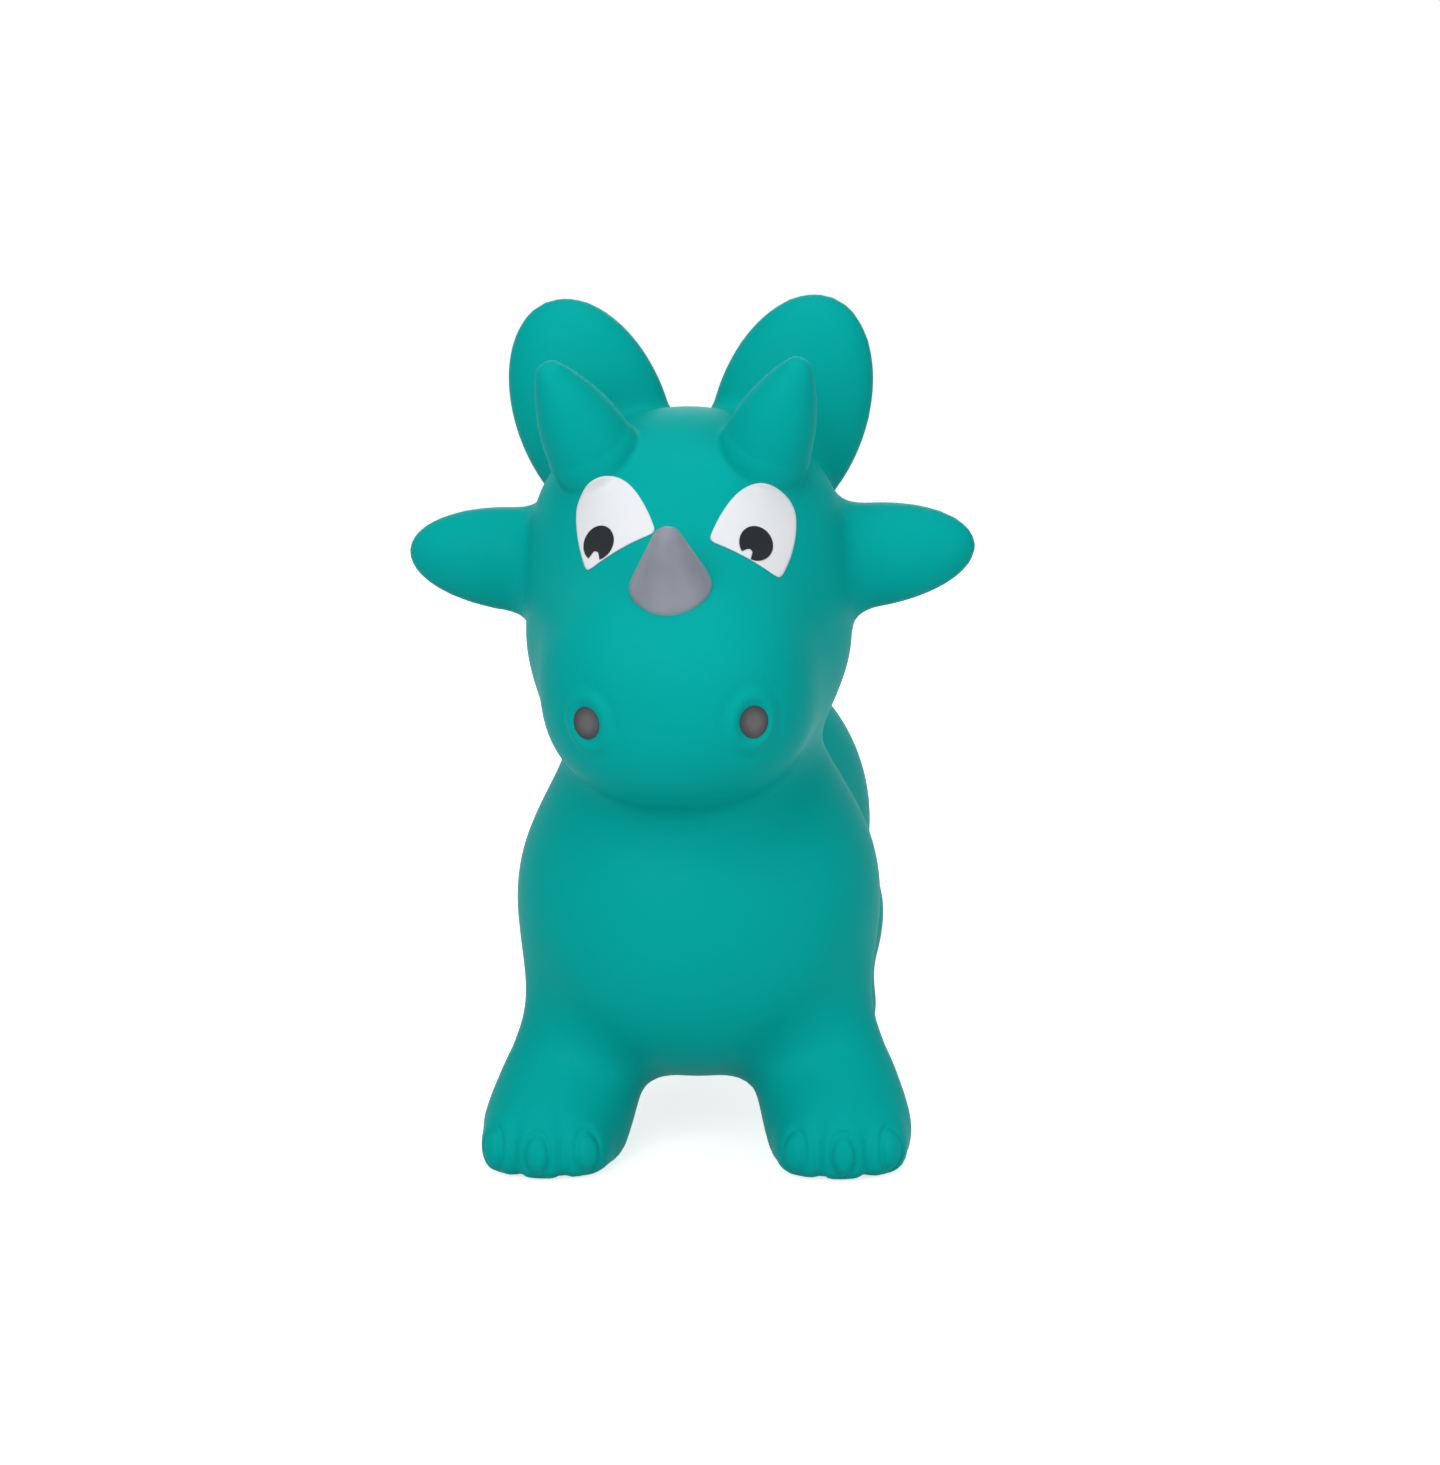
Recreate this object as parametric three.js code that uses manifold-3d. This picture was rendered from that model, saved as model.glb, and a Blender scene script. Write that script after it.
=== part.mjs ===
// Dinosaur hopper: a ride-on toy for a small child, one hollow skin of soft PVC that is blown up with air.
// It has a valve bush and a push-in plug under the belly, a grey horn on the muzzle and a painted face.
// Millimetres, +Z up. The animal faces -Y, and the origin is on the floor under the middle of its length.
import * as THREE from 'three';
import { SimplifyModifier } from 'three/addons/modifiers/SimplifyModifier.js';
import { mergeVertices } from 'three/addons/utils/BufferGeometryUtils.js';
import Module from 'manifold-3d';

// Skin, and how high the toy stands, up to the tops of the neck frill
const STANDING_HEIGHT = 550;
const WALL = 2.2;
const SOLE_ROUNDING = 8;
const SOLE_TRIM = 1;

// Torso: two egg shapes, the chest and the rump, that run into each other at the saddle
const BELLY_CLEARANCE = 43;
const CHEST_AHEAD = 92;
const CHEST_WIDTH = 238;
const CHEST_LENGTH = 244;
const CHEST_DEPTH = 234;
const CHEST_FULLNESS = 2.08;
const CHEST_TO_RUMP = 216;
const RUMP_WIDTH = 211;
const RUMP_LENGTH = 236;
const RUMP_DEPTH = 242;
const SADDLE_BLEND = 90;

// Tail: a short cone that rises from the rump
const TAIL_SEAT = 72;
const TAIL_REACH = 66;
const TAIL_RISE = 42;
const TAIL_ROOT_THICKNESS = 112;
const TAIL_TIP_THICKNESS = 36;
const TAIL_BLEND = 50;

// Front legs
const SHOULDER_SPAN = 122;
const SHOULDER_HEIGHT = 112;
const SHOULDER_AHEAD = 20;
const SHOULDER_THICKNESS = 84;
const ANKLE_SPAN = 164;
const ANKLE_HEIGHT = 48;
const ANKLE_AHEAD = 36;
const ANKLE_THICKNESS = 88;
const LEG_BLEND = 26;

// Hind legs, with a thigh on each flank
const THIGH_SPAN = 142;
const THIGH_HEIGHT = 92;
const THIGH_BEHIND = 16;
const THIGH_WIDTH = 80;
const THIGH_LENGTH = 120;
const THIGH_DEPTH = 92;
const HOCK_SPAN = 132;
const HOCK_HEIGHT = 34;
const HOCK_AHEAD = 4;
const HOCK_THICKNESS = 76;

// Paws: each is cut flat by the floor and has three toes in a fan, with a raised nail on each
const FRONT_PAW_SPAN = 185;
const FRONT_PAW_AHEAD = 60;
const FRONT_PAW_WIDTH = 93;
const FRONT_PAW_LENGTH = 104;
const FRONT_PAW_TURN = 5;
const HIND_PAW_SPAN = 132;
const HIND_PAW_AHEAD = 14;
const HIND_PAW_WIDTH = 76;
const HIND_PAW_LENGTH = 100;
const HIND_PAW_TURN = 2;
const PAW_HEIGHT = 64;
const PAW_BLEND = 20;
const FRONT_TOE_REACH = 36;
const HIND_TOE_REACH = 30;
const TOE_WIDTH = 42;
const TOE_HEIGHT = 39;
const TOE_MIDDLE = 0.42;
const TOE_FAN = 34;
const TOE_CLEFT = 6;
const TOE_BLEND = 9;
const NAIL_WIDTH = 13;
const NAIL_LENGTH = 22;
const NAIL_RELIEF = 1.4;
const NAIL_ROOT = 3;
const NAIL_HEIGHT = 19;

// Neck and head
const NECK_ROOT_RISE = 55;
const NECK_ROOT_THICKNESS = 152;
const NECK_TOP_DROP = 84;
const NECK_TOP_THICKNESS = 160;
const NECK_BLEND = 36;
const HEAD_AHEAD = 24;
const HEAD_BLEND = 30;
const CRANIUM_WIDTH = 198;
const CRANIUM_LENGTH = 176;
const CRANIUM_DEPTH = 160;
const CHEEK_DROP = 66;
const CHEEK_WIDTH = 206;
const CHEEK_LENGTH = 164;
const CHEEK_DEPTH = 144;
const CHEEK_BLEND = 40;
const MUZZLE_AHEAD = 74;
const MUZZLE_DROP = 82;
const MUZZLE_WIDTH = 173;
const MUZZLE_LENGTH = 180;
const MUZZLE_DEPTH = 154;
const MUZZLE_SQUARENESS = 2.3;
const MUZZLE_BLEND = 26;

// Ears, which are the hand grips, the two lobes of the neck frill, and the brow horns
const EAR_SPAN = 366;
const EAR_LENGTH = 150;
const EAR_HEIGHT = 68;
const EAR_THICKNESS = 50;
const EAR_LEAN = 6;
const EAR_DROP = 20;
const EAR_BEHIND = 24;
const EAR_BLEND = 20;
const FRILL_SPAN = 129;
const FRILL_BEHIND = 52;
const FRILL_RISE = 70;
const FRILL_WIDTH = 99;
const FRILL_THICKNESS = 52;
const FRILL_HEIGHT = 158;
const FRILL_LEAN = 20;
const FRILL_BLEND = 15;
const BROW_ROOT_SPAN = 106;
const BROW_ROOT_RISE = 56;
const BROW_ROOT_AHEAD = 44;
const BROW_TIP_SPAN = 150;
const BROW_TIP_RISE = 106;
const BROW_TIP_AHEAD = 67;
const BROW_ROOT_THICKNESS = 58;
const BROW_TIP_THICKNESS = 21;
const BROW_SWELL = 6;
const BROW_BLEND = 8;

// Nose horn, bonded to the top of the muzzle
const HORN_AHEAD = 50;
const HORN_TILT = 25;
const HORN_BASE_RADIUS = 25.5;
const HORN_HEIGHT = 40;
const HORN_TIP_RADIUS = 8.5;
const HORN_SKIRT = 16;

// Painted face: films with GAP under them. The stencil of the eyes sat a little askew, to the right and lower there.
const GAP = 0.3;
const FILM = 0.4;
const EYE_SPAN = 90;
const EYE_RISE = 12;
const EYE_INNER_REACH = 29;
const EYE_OUTER_REACH = 23;
const EYE_TOP_REACH = 32;
const EYE_FOOT_REACH = 28;
const STENCIL_SHIFT = 5;
const STENCIL_DROP = 2.8;
const EYE_MASK_TILT = 12;
const PUPIL_SPAN = 97;
const PUPIL_RISE = 3.5;
const PUPIL_WIDTH = 18.6;
const PUPIL_LENGTH = 21.6;
const PUPIL_LEAN = 25;
const GLINT_RADIUS = 2.7;
const GLINT_ASIDE = 3.6;
const GLINT_DROP = 6.8;
const NOSTRIL_SPAN = 101;
const NOSTRIL_DROP = 12.5;
const NOSTRIL_WIDTH = 16.5;
const NOSTRIL_LENGTH = 20.5;
const NOSTRIL_HOLLOW_RADIUS = 24;
const NOSTRIL_HOLLOW_DEPTH = 4;

// Valve: a bush in a round pocket under the belly, and the plug that closes it
const VALVE_BEHIND = 112;
const VALVE_FLANGE_RADIUS = 15;
const VALVE_FLANGE = 2;
const VALVE_TUBE_RADIUS = 9;
const VALVE_TUBE_LENGTH = 17;
const PLUG_HEAD_RADIUS = 13;
const PLUG_HEAD = 2.4;
const PLUG_STEM_RADIUS = 5.8;
const PLUG_STEM_LENGTH = 14;
const PLUG_NOSE = 1.6;

// Facets: the cell of the grid that finds the surface, and how many points of the surface are kept
const CELL = 7;
const SKIN_POINTS = 2080;
const ROUND_SEGMENTS = 32;

const PVC_TEAL = { color: '#0aa29c', roughness: 0.5, metalness: 0 };
const HORN_GREY = { color: '#8a8e98', roughness: 0.5, metalness: 0 };
const EYE_WHITE = { color: '#ecedf1', roughness: 0.45, metalness: 0 };
const PUPIL_BLACK = { color: '#22292f', roughness: 0.4, metalness: 0 };
const NOSTRIL_BROWN = { color: '#5d595a', roughness: 0.45, metalness: 0 };
const VALVE_PVC = { color: '#0b8f89', roughness: 0.45, metalness: 0 };
const PLUG_PVC = { color: '#e6e7e3', roughness: 0.45, metalness: 0 };

const wasm = await Module();
wasm.setup();

const SIDES = { left: -1, right: 1 };
const TINY = 1e-9;
const at = (x, y, z) => new THREE.Vector3(x, y, z);
const radians = THREE.MathUtils.degToRad;

// A form is a rounded lump of the moulding: the box that holds it, and how far a point is outside it.
function egg(centre, size, squareness = 2, lean = 0) {
  const half = size.clone().multiplyScalar(0.5);
  const reach = Math.max(half.x, half.z);
  const box = new THREE.Box3().setFromCenterAndSize(centre, at(2 * reach, size.y, 2 * reach));
  const cosine = Math.cos(lean);
  const sine = Math.sin(lean);
  const distance = (x, y, z) => {
    const across = x - centre.x;
    const up = z - centre.z;
    const u = Math.abs(across * cosine - up * sine) / half.x;
    const v = Math.abs(y - centre.y) / half.y;
    const w = Math.abs(across * sine + up * cosine) / half.z;
    const sum = Math.max(u ** squareness + v ** squareness + w ** squareness, TINY);
    const power = squareness - 1;
    const slope = Math.hypot(u ** power / half.x, v ** power / half.y, w ** power / half.z);
    return (sum ** (1 / squareness) - 1) / Math.max(slope * sum ** (1 / squareness - 1), TINY);
  };
  return { box, distance };
}

// A cone between two balls, thicker than a straight one by its swell halfway
function taper(start, end, startThickness, endThickness, swell = 0) {
  const startRadius = startThickness / 2;
  const endRadius = endThickness / 2;
  const startBox = new THREE.Box3(start.clone().subScalar(startRadius), start.clone().addScalar(startRadius));
  const endBox = new THREE.Box3(end.clone().subScalar(endRadius), end.clone().addScalar(endRadius));
  const axis = end.clone().sub(start);
  const length = axis.length();
  axis.normalize();
  const sine = (startRadius - endRadius) / length;
  const cosine = Math.sqrt(1 - sine * sine);
  const distance = (x, y, z) => {
    const from = at(x - start.x, y - start.y, z - start.z);
    const along = from.dot(axis);
    const aside = Math.sqrt(Math.max(from.lengthSq() - along * along, 0));
    const station = THREE.MathUtils.clamp(along - (aside * sine) / cosine, 0, length) / length;
    const radius = startRadius + (endRadius - startRadius) * station + 2 * swell * station * (1 - station);
    return Math.hypot(along - station * length, aside) - radius;
  };
  return { box: startBox.union(endBox), distance };
}

// Two forms run into each other with a fillet of about the given size
function join(first, second, fillet) {
  const distance = (x, y, z) => {
    const a = first.distance(x, y, z);
    const b = second.distance(x, y, z);
    const overlap = Math.max(fillet - Math.abs(a - b), 0);
    return Math.min(a, b) - (overlap * overlap) / (4 * fillet);
  };
  return { box: first.box.clone().union(second.box), distance };
}

function mirrored(form) {
  const { min, max } = form.box;
  const box = new THREE.Box3(at(-max.x, min.y, min.z), max.clone());
  return { box, distance: (x, y, z) => form.distance(Math.abs(x), y, z) };
}

// The paws end in a rounded rim just below the floor, where they are then trimmed flat
function standing(form, rounding) {
  const distance = (x, y, z) => {
    const above = -SOLE_TRIM - z;
    const inside = form.distance(x, y, z);
    const overlap = Math.max(rounding - Math.abs(inside - above), 0);
    return Math.max(inside, above) + (overlap * overlap) / (4 * rounding);
  };
  const box = form.box.clone();
  box.min.z = -SOLE_TRIM;
  return { box, distance };
}

// Middles of the main forms
const chest = at(0, -CHEST_AHEAD, BELLY_CLEARANCE + CHEST_DEPTH / 2);
const rump = at(0, chest.y + CHEST_TO_RUMP, BELLY_CLEARANCE + RUMP_DEPTH / 2);
const tailRoot = at(0, rump.y + TAIL_SEAT, rump.z);
const tailTip = at(0, tailRoot.y + TAIL_REACH, tailRoot.z + TAIL_RISE);
const shoulder = at(SHOULDER_SPAN / 2, chest.y - SHOULDER_AHEAD, SHOULDER_HEIGHT);
const ankle = at(ANKLE_SPAN / 2, chest.y - ANKLE_AHEAD, ANKLE_HEIGHT);
const thigh = at(THIGH_SPAN / 2, rump.y + THIGH_BEHIND, THIGH_HEIGHT);
const hock = at(HOCK_SPAN / 2, rump.y - HOCK_AHEAD, HOCK_HEIGHT);
const frillLean = radians(FRILL_LEAN);
const frillReach = Math.hypot(FRILL_HEIGHT * Math.cos(frillLean), FRILL_WIDTH * Math.sin(frillLean)) / 2;
const head = at(0, chest.y - HEAD_AHEAD, STANDING_HEIGHT - FRILL_RISE - frillReach);
const cheeks = at(0, head.y, head.z - CHEEK_DROP);
const muzzle = at(0, head.y - MUZZLE_AHEAD, head.z - MUZZLE_DROP);
const ear = at((EAR_SPAN - EAR_LENGTH) / 2, head.y + EAR_BEHIND, head.z - EAR_DROP);
const frill = at(FRILL_SPAN / 2, head.y + FRILL_BEHIND, head.z + FRILL_RISE);
const browRoot = at(BROW_ROOT_SPAN / 2, head.y - BROW_ROOT_AHEAD, head.z + BROW_ROOT_RISE);
const browTip = at(BROW_TIP_SPAN / 2, head.y - BROW_TIP_AHEAD, head.z + BROW_TIP_RISE);

// A paw with its fan of toes; the toes' places and directions are kept for the nails
const toes = [];
function paw(x, y, width, length, turn, toeReach) {
  const middle = at(x, y, TOE_HEIGHT / 2);
  let fan = null;
  for (const step of [-1, 0, 1]) {
    const angle = radians(turn + step * TOE_FAN);
    const forward = at(Math.sin(angle), -Math.cos(angle), 0);
    const place = middle.clone().addScaledVector(forward, toeReach);
    place.z = TOE_HEIGHT * TOE_MIDDLE;
    const toe = egg(place, at(TOE_WIDTH, TOE_WIDTH, 2 * (TOE_HEIGHT - place.z)));
    fan = fan ? join(fan, toe, TOE_CLEFT) : toe;
    toes.push({ place, forward });
  }
  const pad = egg(middle, at(width, length, 2 * (PAW_HEIGHT - middle.z)));
  return join(pad, fan, TOE_BLEND);
}

const frontPaw = paw(FRONT_PAW_SPAN / 2, chest.y - FRONT_PAW_AHEAD, FRONT_PAW_WIDTH, FRONT_PAW_LENGTH,
  FRONT_PAW_TURN, FRONT_TOE_REACH);
const hindPaw = paw(HIND_PAW_SPAN / 2, rump.y - HIND_PAW_AHEAD, HIND_PAW_WIDTH, HIND_PAW_LENGTH,
  HIND_PAW_TURN, HIND_TOE_REACH);

// The whole moulding, from the torso outwards
function mouldedBody() {
  const chestForm = egg(chest, at(CHEST_WIDTH, CHEST_LENGTH, CHEST_DEPTH), CHEST_FULLNESS);
  const rumpForm = egg(rump, at(RUMP_WIDTH, RUMP_LENGTH, RUMP_DEPTH));
  let body = join(chestForm, rumpForm, SADDLE_BLEND);
  body = join(body, taper(tailRoot, tailTip, TAIL_ROOT_THICKNESS, TAIL_TIP_THICKNESS), TAIL_BLEND);
  const thighForm = egg(thigh, at(THIGH_WIDTH, THIGH_LENGTH, THIGH_DEPTH));
  body = join(body, mirrored(thighForm), LEG_BLEND);
  const frontLeg = taper(shoulder, ankle, SHOULDER_THICKNESS, ANKLE_THICKNESS);
  body = join(body, mirrored(frontLeg), LEG_BLEND);
  body = join(body, mirrored(frontPaw), PAW_BLEND);
  const hindLeg = taper(at(hock.x, rump.y, thigh.z), hock, HOCK_THICKNESS, HOCK_THICKNESS);
  body = join(body, mirrored(hindLeg), LEG_BLEND);
  body = join(body, mirrored(hindPaw), PAW_BLEND);
  const neckRoot = at(0, chest.y, chest.z + NECK_ROOT_RISE);
  const neckTop = at(0, head.y, head.z - NECK_TOP_DROP);
  return join(body, taper(neckRoot, neckTop, NECK_ROOT_THICKNESS, NECK_TOP_THICKNESS), NECK_BLEND);
}

function mouldedHead() {
  const cranium = egg(head, at(CRANIUM_WIDTH, CRANIUM_LENGTH, CRANIUM_DEPTH));
  const cheekForm = egg(cheeks, at(CHEEK_WIDTH, CHEEK_LENGTH, CHEEK_DEPTH));
  const lobe = egg(frill, at(FRILL_WIDTH, FRILL_THICKNESS, FRILL_HEIGHT), 2, frillLean);
  const grip = egg(ear, at(EAR_LENGTH, EAR_THICKNESS, EAR_HEIGHT), 2, -radians(EAR_LEAN));
  const skull = join(cranium, cheekForm, CHEEK_BLEND);
  return join(join(skull, mirrored(lobe), FRILL_BLEND), mirrored(grip), EAR_BLEND);
}

const muzzleForm = egg(muzzle, at(MUZZLE_WIDTH, MUZZLE_LENGTH, MUZZLE_DEPTH), MUZZLE_SQUARENESS);
const browHorn = taper(browRoot, browTip, BROW_ROOT_THICKNESS, BROW_TIP_THICKNESS, BROW_SWELL);
const faced = join(join(mouldedBody(), mouldedHead(), HEAD_BLEND), muzzleForm, MUZZLE_BLEND);
const moulding = standing(join(faced, mirrored(browHorn), BROW_BLEND), SOLE_ROUNDING);

function outward(point) {
  const step = 0.25;
  const { x, y, z } = point;
  return at(
    moulding.distance(x + step, y, z) - moulding.distance(x - step, y, z),
    moulding.distance(x, y + step, z) - moulding.distance(x, y - step, z),
    moulding.distance(x, y, z + step) - moulding.distance(x, y, z - step),
  ).divideScalar(2 * step);
}

// The point of the surface that a straight walk from inside reaches
function surfaceFrom(inside, direction) {
  const ray = direction.clone().normalize();
  const size = moulding.box.getSize(at(0, 0, 0)).length();
  let near = 0;
  let far = size;
  for (let walk = 0; walk < size; walk += 1) {
    const point = inside.clone().addScaledVector(ray, walk);
    if (moulding.distance(point.x, point.y, point.z) > 0) {
      far = walk;
      break;
    }
    near = walk;
  }
  for (let halving = 0; halving < 40; halving += 1) {
    const middle = (near + far) / 2;
    const point = inside.clone().addScaledVector(ray, middle);
    if (moulding.distance(point.x, point.y, point.z) > 0) far = middle;
    else near = middle;
  }
  return inside.clone().addScaledVector(ray, near);
}

// Even grid lines over the moulding. None of them lies on the floor or on the middle plane.
function gridLines(axis) {
  const first = Math.floor(moulding.box.min[axis] / CELL) - 1.5;
  const last = Math.ceil(moulding.box.max[axis] / CELL) + 1.5;
  return Array.from({ length: last - first + 1 }, (_, line) => (first + line) * CELL);
}

// One point in each cell that the surface crosses, and a four-sided face round each grid edge that it crosses
function surfaceNet(form, lines) {
  const counts = lines.map((axisLines) => axisLines.length);
  const strides = [counts[1] * counts[2], counts[2], 1];
  const values = new Float64Array(counts[0] * strides[0]);
  const indexOf = (cell) => cell[0] * strides[0] + cell[1] * strides[1] + cell[2];
  const everyCell = (visit) => {
    for (let i = 0; i < counts[0]; i += 1) {
      for (let j = 0; j < counts[1]; j += 1) {
        for (let k = 0; k < counts[2]; k += 1) visit([i, j, k]);
      }
    }
  };
  everyCell((cell) => {
    values[indexOf(cell)] = form.distance(lines[0][cell[0]], lines[1][cell[1]], lines[2][cell[2]]);
  });
  const points = [];
  const pointOf = new Int32Array(values.length).fill(-1);
  everyCell((cell) => {
    if (cell.some((place, axis) => place === counts[axis] - 1)) return;
    const sum = [0, 0, 0];
    let crossings = 0;
    for (let axis = 0; axis < 3; axis += 1) {
      const second = (axis + 1) % 3;
      const third = (axis + 2) % 3;
      for (const [across, beyond] of [[0, 0], [1, 0], [0, 1], [1, 1]]) {
        const start = indexOf(cell) + across * strides[second] + beyond * strides[third];
        const low = values[start];
        const high = values[start + strides[axis]];
        if ((low < 0) === (high < 0)) continue;
        const from = lines[axis][cell[axis]];
        sum[axis] += from + (low / (low - high)) * (lines[axis][cell[axis] + 1] - from);
        sum[second] += lines[second][cell[second] + across];
        sum[third] += lines[third][cell[third] + beyond];
        crossings += 1;
      }
    }
    if (crossings === 0) return;
    pointOf[indexOf(cell)] = points.length;
    points.push(at(sum[0] / crossings, sum[1] / crossings, sum[2] / crossings));
  });
  const faces = [];
  everyCell((cell) => {
    const start = indexOf(cell);
    for (let axis = 0; axis < 3; axis += 1) {
      const second = (axis + 1) % 3;
      const third = (axis + 2) % 3;
      if (cell[axis] === counts[axis] - 1 || cell[second] === 0 || cell[third] === 0) continue;
      const leaves = values[start] < 0;
      if (leaves === values[start + strides[axis]] < 0) continue;
      const ring = [
        start - strides[second] - strides[third],
        start - strides[third],
        start,
        start - strides[second],
      ].map((neighbour) => pointOf[neighbour]);
      faces.push(leaves ? ring : ring.reverse());
    }
  });
  return { points, faces };
}

// The surface as facets: each point is moved onto the surface and keeps its direction outwards, then the
// flatter places are thinned out, so that most points are left at the paws, the ears and the horns
async function facetedSkin() {
  const { points, faces } = surfaceNet(moulding, ['x', 'y', 'z'].map(gridLines));
  const SETTLING_STEPS = 4;
  for (const point of points) {
    for (let step = 0; step < SETTLING_STEPS; step += 1) {
      const slope = outward(point);
      const off = moulding.distance(point.x, point.y, point.z);
      point.addScaledVector(slope, -off / Math.max(slope.lengthSq(), TINY));
    }
  }
  const triangles = faces.flatMap(([a, b, c, d]) => {
    const short = points[a].distanceToSquared(points[c]) <= points[b].distanceToSquared(points[d]);
    return short ? [a, b, c, a, c, d] : [a, b, d, b, c, d];
  });
  const normals = points.map((point) => outward(point).normalize());
  const geometry = new THREE.BufferGeometry().setFromPoints(points);
  geometry.setAttribute('normal', new THREE.Float32BufferAttribute(normals.flatMap((n) => n.toArray()), 3));
  geometry.setIndex(triangles);
  return new SimplifyModifier().modify(geometry, points.length - SKIN_POINTS);
}
const skin = await facetedSkin();

function solidFrom(positions, indices) {
  const kept = [];
  for (let i = 0; i < indices.length; i += 3) {
    const [a, b, c] = indices.slice(i, i + 3);
    if (a !== b && b !== c && c !== a) kept.push(a, b, c);
  }
  const vertProperties = new Float32Array(positions);
  const triVerts = new Uint32Array(kept);
  return new wasm.Manifold(new wasm.Mesh({ numProp: 3, vertProperties, triVerts }));
}

function solidOf(geometry) {
  const bare = new THREE.BufferGeometry();
  bare.setAttribute('position', geometry.getAttribute('position'));
  if (geometry.index) bare.setIndex(geometry.index);
  const merged = mergeVertices(bare, 1e-4);
  return solidFrom(merged.getAttribute('position').array, [...merged.index.array]);
}

function geometryOf(solid) {
  const mesh = solid.getMesh();
  const geometry = new THREE.BufferGeometry();
  const positions = new Float32Array(mesh.numVert * 3);
  for (let i = 0; i < mesh.numVert; i += 1) {
    for (let axis = 0; axis < 3; axis += 1) {
      positions[3 * i + axis] = mesh.vertProperties[mesh.numProp * i + axis];
    }
  }
  geometry.setAttribute('position', new THREE.BufferAttribute(positions, 3));
  geometry.setIndex([...mesh.triVerts]);
  geometry.computeVertexNormals();
  return geometry;
}

// The moulding's surface moved outwards, or inwards where the offset is negative
function grown(offset) {
  const points = skin.getAttribute('position').array;
  const normals = skin.getAttribute('normal').array;
  return solidFrom(points.map((value, i) => value + offset * normals[i]), [...skin.index.array]);
}

// An upright round bar, from its lower end
function bar(radius, from, to, middle) {
  const geometry = new THREE.CylinderGeometry(radius, radius, to - from, ROUND_SEGMENTS);
  geometry.rotateX(Math.PI / 2);
  return solidOf(geometry.translate(middle.x, middle.y, (from + to) / 2));
}

function ball(radius, middle) {
  const geometry = new THREE.SphereGeometry(radius, ROUND_SEGMENTS, ROUND_SEGMENTS / 2);
  return solidOf(geometry.translate(middle.x, middle.y, middle.z));
}

// Everything under a level, which trims the paws
function under(level) {
  const { x, y } = moulding.box.getSize(at(0, 0, 0));
  const middle = moulding.box.getCenter(at(0, 0, 0));
  const geometry = new THREE.BoxGeometry(2 * x, 2 * y, BELLY_CLEARANCE);
  return solidOf(geometry.translate(middle.x, middle.y, level - BELLY_CLEARANCE / 2));
}

// A body of revolution about an upright axis, from its half profile of [radius, height] pairs
function turned(profile) {
  const geometry = new THREE.LatheGeometry(profile.map(([r, z]) => new THREE.Vector2(r, z)), ROUND_SEGMENTS);
  return geometry.rotateX(Math.PI / 2);
}

// A raised oval nail on each toe: the top of a flat egg that is sunk in the skin by its root
function nails() {
  const solids = [];
  const half = NAIL_ROOT + NAIL_RELIEF;
  const spread = 1 / Math.sqrt(1 - (NAIL_ROOT / half) ** 2);
  for (const { place, forward } of toes) {
    const seat = surfaceFrom(at(place.x, place.y, NAIL_HEIGHT), forward);
    const facing = outward(seat).normalize();
    const turn = new THREE.Quaternion().setFromUnitVectors(at(0, 0, 1), facing);
    for (const side of Object.values(SIDES)) {
      const geometry = new THREE.SphereGeometry(0.5, 10, 6);
      geometry.scale(spread * NAIL_WIDTH, spread * NAIL_LENGTH, 2 * half).translate(0, 0, -NAIL_ROOT);
      geometry.applyQuaternion(turn);
      geometry.translate(seat.x, seat.y, seat.z);
      const solid = solidOf(geometry);
      solids.push(side < 0 ? solid.mirror([1, 0, 0]) : solid);
    }
  }
  return solids;
}

// Valve pocket: its floor is the seat that the bush's flange lies on
const valveY = chest.y + VALVE_BEHIND;
const belly = surfaceFrom(at(0, valveY, chest.z), at(0, 0, -1));
const pocketDepth = VALVE_FLANGE + PLUG_HEAD + 3 * GAP;
const pocketRadius = VALVE_FLANGE_RADIUS + GAP;
const valveSeat = at(0, valveY, belly.z + pocketDepth);

// Nostril hollows: a shallow ball-shaped dent on each side of the muzzle
function nostrilDent(side) {
  const aim = at((side * NOSTRIL_SPAN) / 2, muzzle.y, muzzle.z - NOSTRIL_DROP);
  const rim = surfaceFrom(aim, at(0, -1, 0));
  const facing = outward(rim).normalize();
  const middle = rim.clone().addScaledVector(facing, NOSTRIL_HOLLOW_RADIUS - NOSTRIL_HOLLOW_DEPTH);
  return { rim, facing, middle };
}
const dents = { left: nostrilDent(SIDES.left), right: nostrilDent(SIDES.right) };

// Skin: the moulding with its nails, hollowed to an even wall, which also follows the dents and the pocket
function bodySkin() {
  let outside = grown(0);
  let hollow = grown(-WALL);
  for (const nail of nails()) outside = outside.add(nail);
  outside = outside.subtract(under(0));
  hollow = hollow.subtract(under(WALL));
  for (const { middle } of Object.values(dents)) {
    outside = outside.subtract(ball(NOSTRIL_HOLLOW_RADIUS, middle));
    hollow = hollow.subtract(ball(NOSTRIL_HOLLOW_RADIUS + WALL, middle));
  }
  const pocketMouth = belly.z - pocketDepth;
  outside = outside.subtract(bar(pocketRadius, pocketMouth, valveSeat.z, valveSeat));
  hollow = hollow.subtract(bar(pocketRadius + WALL, pocketMouth, valveSeat.z + WALL, valveSeat));
  const valveHole = bar(VALVE_TUBE_RADIUS + GAP, pocketMouth, valveSeat.z + 2 * WALL, valveSeat);
  return outside.subtract(hollow).subtract(valveHole);
}

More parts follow.
